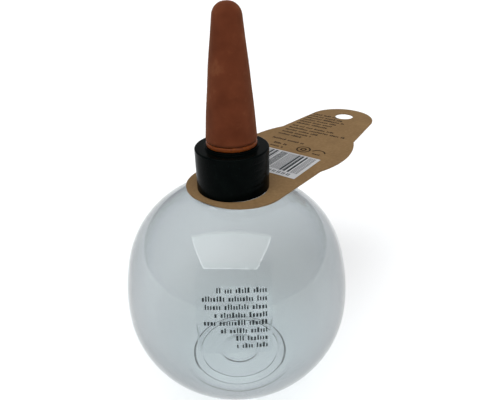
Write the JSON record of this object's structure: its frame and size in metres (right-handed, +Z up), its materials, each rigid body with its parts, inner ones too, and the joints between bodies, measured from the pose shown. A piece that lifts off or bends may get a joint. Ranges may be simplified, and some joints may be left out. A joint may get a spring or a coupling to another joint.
{
  "type": "watering globe",
  "caption": "Clear blown watering globe with a flat foot, a black screw cap carrying a hollow clay cone on an orange seal, and a card hang tag round the neck.",
  "frame": {"origin": "on the floor, at the centre of the globe's standing ring, on the neck's axis", "axes": "+Z up along the neck and the cone, -Y to the front where the clear label is, +X to the right"},
  "size_m": [0.1292, 0.1452, 0.1658],
  "materials": {
    "clear_pet": "clear blown PET, glossy",
    "label_film": "clear self-adhesive film, semi-gloss",
    "foam_liner": "matt pale sealing washer",
    "black_cap": "moulded black polypropylene, semi-gloss",
    "orange_silicone": "satin orange silicone",
    "terracotta": "unglazed fired clay, matt",
    "kraft_card": "brown kraft card with dark print",
    "panel_paper": "white coated paper with plain dark stripes"
  },
  "bodies": {
    "globe": {"globe_bottle": "clear_pet", "clear_label": "label_film"},
    "gasket": {"neck_gasket": "foam_liner"},
    "cap": {"screw_cap": "black_cap", "cone_seal_ring": "orange_silicone", "terracotta_cone": "terracotta"},
    "tag": {"hang_tag": "kraft_card", "tag_panel": "panel_paper"}
  },
  "joints": [
    {"name": "cap_lift", "type": "slide", "parent": "globe", "child": "gasket", "axis": [0, 0, 1], "range_m": [0, 0.00637]},
    {"name": "cap_turn", "type": "hinge", "parent": "gasket", "child": "cap", "pos_m": [0, 0, 0.105], "axis": [0, 0, 1], "range_deg": [0, 720]},
    {"name": "tag_swivel", "type": "hinge", "parent": "globe", "child": "tag", "pos_m": [0, 0, 0.09375], "axis": [0, 0, 1], "continuous": true}
  ],
  "couplings": [
    {"joint": "cap_lift", "follows": "cap_turn", "m_per_rad": 0.00050611}
  ]
}
